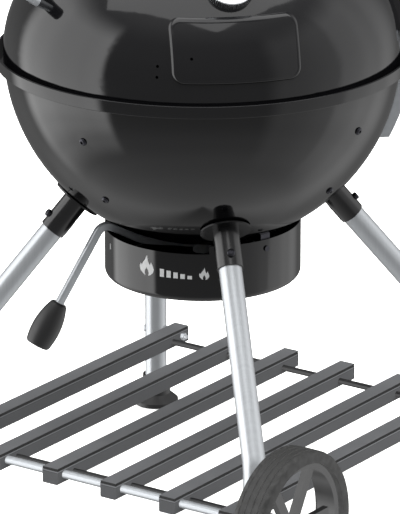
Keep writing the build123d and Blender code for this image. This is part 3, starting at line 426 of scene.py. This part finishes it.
bm = bmesh.new()
drum_print(bm, flame, angle=180.5, height=385.1, wide=29.4, tall=29.4)
drum_print(bm, flame, angle=215.7, height=380.5, wide=17.6, tall=17.4)
for i, tall in enumerate(bar_heights):
    drum_print(bm, bar, angle=bar_first_angle + bar_step_angle * i, height=372.3, wide=6.3, tall=tall)
drum_print(bm, bar, angle=145.8, height=387.1, wide=3.0, tall=8.3)
piece("drum_marks", smooth_mesh(bm, "drum_marks"), print_ink, "ash_catcher")

# Scale on the thermometer's dial: ticks, each with its inner radius and its width, and plain numbers
first_tick = 225
tick_step = 10
tick_count = 28
ticks_to_number = 9
tick_rim = 26.4
long_tick = (22.2, 0.9)
short_tick = (24.2, 0.5)
tick_rise = 0.12
tick_root = 0.05
number_ring = 16.5
number_size = 6.2
number_depth = 0.06
dial_reach = bowl_radius * math.sqrt(1 - (dial_rise / lid_rise) ** 2)
turn = math.radians(front_angle)
lean = dial_reach / bowl_radius ** 2
dial_normal = Vector((lean * math.cos(turn), lean * math.sin(turn), dial_rise / lid_rise ** 2)).normalized()
dial_seat = around(front_angle, dial_reach, lid_edge + dial_rise) + dial_normal * dial_lift
dial_face = stand_on(dial_seat, dial_normal, sideways(front_angle))


def dial_block(bm, angle, near, far, wide):
    """One raised ink mark on the dial, from one radius to another."""
    c, s = math.cos(math.radians(angle)), math.sin(math.radians(angle))
    ends = []
    for height in (-tick_root, tick_rise):
        flat = [(near, -wide / 2), (far, -wide / 2), (far, wide / 2), (near, wide / 2)]
        ends.append([bm.verts.new(dial_face @ (Vector((c * x - s * y, s * x + c * y, height)) * MM)) for x, y in flat])
    low, high = ends
    bm.faces.new(low[::-1])
    bm.faces.new(high)
    join_rings(bm, ends)


bm = bmesh.new()
for i in range(tick_count):
    near, wide = long_tick if i % ticks_to_number == 0 else short_tick
    dial_block(bm, first_tick - tick_step * i, near, tick_rim, wide)
piece("dial_ticks", smooth_mesh(bm, "dial_ticks"), dial_ink, "lid")
for i, number in enumerate(("0", "100", "200", "300")):
    text = bpy.data.curves.new(f"dial_number_{number}", "FONT")
    text.body = number
    text.size = number_size * MM
    text.align_x = "CENTER"
    text.align_y = "CENTER"
    text.extrude = number_depth * MM
    letters = bpy.data.objects.new(f"lettering_{number}", text)
    bpy.context.scene.collection.objects.link(letters)
    bpy.context.view_layer.update()
    mesh = bpy.data.meshes.new_from_object(letters.evaluated_get(bpy.context.evaluated_depsgraph_get()))
    bpy.data.objects.remove(letters)
    angle = math.radians(first_tick - tick_step * ticks_to_number * i)
    spot = Vector((number_ring * math.cos(angle), number_ring * math.sin(angle), number_depth))
    mesh.transform(dial_face @ Matrix.Translation(spot * MM))
    mesh.materials.clear()
    piece(f"dial_number_{number}", mesh, dial_ink, "lid")

# Smooth shading on the solids, with their own edges kept
weld_gap = 0.002
crisp_angle = 28
for node in nodes.values():
    node.data.shade_smooth()
    weld = node.modifiers.new("weld", "WELD")
    weld.merge_threshold = weld_gap * MM
    crisp = node.modifiers.new("crisp_edges", "EDGE_SPLIT")
    crisp.split_angle = math.radians(crisp_angle)

# The enamel mirrors the soft walls, the sockets and the drum's marks, and not the shelf, legs, wheels and lever
unmirrored = ("slat", "crossbar", "shelf", "axle", "wheel", "tyre", "foot", "lever", "leg_end", "leg_back", "leg_left",
              "leg_front", "leg_right")
for name, node in nodes.items():
    if name.startswith(unmirrored):
        node.visible_glossy = False

# Pale floor, lit from below like a studio light table; it lies a hair under the feet. Lengths here are in metres
white = colour("#ffffff")
floor_radius = 9.0
floor_drop = 0.0005
floor_material = bpy.data.materials.new("pale_light_table")
floor_material.use_nodes = True
floor_shader = floor_material.node_tree.nodes["Principled BSDF"]
floor_shader.inputs["Base Color"].default_value = colour("#f2f2f0")
floor_shader.inputs["Roughness"].default_value = 0.9
floor_shader.inputs["Emission Color"].default_value = white
floor_shader.inputs["Emission Strength"].default_value = 0.7
bm = bmesh.new()
bmesh.ops.create_circle(bm, cap_ends=True, radius=floor_radius, segments=96)
floor_mesh = bpy.data.meshes.new("floor")
bm.to_mesh(floor_mesh)
bm.free()
floor_mesh.materials.append(floor_material)
floor = bpy.data.objects.new("floor", floor_mesh)
floor.location.z = -floor_drop
bpy.context.scene.collection.objects.link(floor)
floor.visible_glossy = False
floor.visible_diffuse = False

# Studio walls as the room's own light: a tall soft wall to the left, a weaker one to the right, a pale ground
camera_angle = 215.0
world = bpy.data.worlds.new("studio")
bpy.context.scene.world = world
world.use_nodes = True
room = world.node_tree
direction = add(room, "ShaderNodeTexCoord")
turned = add(room, "ShaderNodeMapping", (), {"Rotation": (0, 0, math.radians(-camera_angle))},
             {"Vector": direction.outputs["Generated"]})
parts = add(room, "ShaderNodeSeparateXYZ", (), (), {"Vector": turned.outputs[0]})
bearing = add(room, "ShaderNodeMath", {"operation": "ARCTAN2"}, (),
              {0: parts.outputs["Y"], 1: parts.outputs["X"]}).outputs[0]
height = add(room, "ShaderNodeMath", {"operation": "ARCSINE"}, (), {0: parts.outputs["Z"]}).outputs[0]
# Brightness against the angle in degrees: bearings from the camera, left of it negative, and heights above level
stops = {
    "ground": (height, 90, [(-90, 1.30), (-71, 1.32), (-55, 1.18), (-42, 0.94), (-30, 0.70), (-15, 0.56), (10, 0.52),
                            (35, 0.55), (60, 1.1)]),
    "back": (bearing, 180, [(-165, 0.3), (-120, 1.0), (120, 1.0), (165, 0.3)]),
    "left": (bearing, 180, [(-134, 0.0), (-120, 2.7), (-100, 3.6), (-75, 4.2), (-62, 4.8), (-56, 0.0)]),
    "left_height": (height, 90, [(-50, 0.0), (-40, 0.35), (-31, 0.75), (-24, 1.0), (30, 1.0), (48, 0.0)]),
    "right": (bearing, 180, [(34, 0.0), (48, 0.65), (82, 1.0), (88, 1.7), (106, 1.5), (122, 0.9), (150, 0.0)]),
    "right_height": (height, 90, [(-62, 0.0), (-40, 0.6), (-26, 1.0), (30, 1.0), (48, 0.0)]),
    "sky": (height, 90, [(-90, 0.12), (-20, 0.15), (5, 0.3), (25, 1.2), (38, 2.6), (60, 2.6), (90, 1.8)]),
}
level = {}
for name, (angle, span, marks) in stops.items():
    share = add(room, "ShaderNodeMapRange", (),
                {"From Min": -math.radians(span), "From Max": math.radians(span)}, {"Value": angle})
    ramp = add(room, "ShaderNodeValToRGB", (), (), {"Fac": share.outputs[0]})
    ramp.color_ramp.interpolation = "EASE"
    while len(ramp.color_ramp.elements) < len(marks):
        ramp.color_ramp.elements.new(1.0)
    for element, (degrees, value) in zip(ramp.color_ramp.elements, marks):
        element.position = (degrees + span) / (2 * span)
        element.color = (value, value, value, 1.0)
    level[name] = ramp.outputs["Color"]
products = []
for first, second in (("ground", "back"), ("left", "left_height"), ("right", "right_height")):
    products.append(add(room, "ShaderNodeMix", {"data_type": "RGBA", "blend_type": "MULTIPLY"}, {0: 1.0},
                        {6: level[first], 7: level[second]}).outputs[2])
total = products[0]
for product in products[1:]:
    total = add(room, "ShaderNodeMix", {"data_type": "RGBA", "blend_type": "ADD"}, {0: 1.0},
                {6: total, 7: product}).outputs[2]
# The walls show in gloss alone; a soft sky lights what is matt, and the backdrop beyond the floor is white
path = add(room, "ShaderNodeLightPath")
light = add(room, "ShaderNodeMix", {"data_type": "RGBA"}, (),
            {0: path.outputs["Is Glossy Ray"], 6: level["sky"], 7: total})
seen = add(room, "ShaderNodeMix", {"data_type": "RGBA"}, {7: white},
           {0: path.outputs["Is Camera Ray"], 6: light.outputs[2]})
room.links.new(seen.outputs[2], room.nodes["Background"].inputs["Color"])

# Softbox overhead
lamp = bpy.data.lights.new("softbox_top", "AREA")
lamp.size = 2.6
lamp.energy = 60
box = bpy.data.objects.new("softbox_top", lamp)
box.location = (axis_x * MM, 0, 2.6)
box.visible_camera = False
bpy.context.scene.collection.objects.link(box)

# Camera fitted to the photograph's outlines, for a picture of 400 by 514
view = bpy.data.cameras.new("camera")
view.sensor_fit = "HORIZONTAL"
view.sensor_width = 36.0
view.lens = 468.06
view.shift_x = -0.0081
view.clip_end = 100.0
camera = bpy.data.objects.new("camera", view)
camera.location = (-5.6280, -3.9508, 2.6696)
camera.rotation_euler = (math.radians(71.51), 0, math.radians(-55.13))
bpy.context.scene.collection.objects.link(camera)
bpy.context.scene.camera = camera
bpy.context.scene.view_settings.view_transform = "Standard"
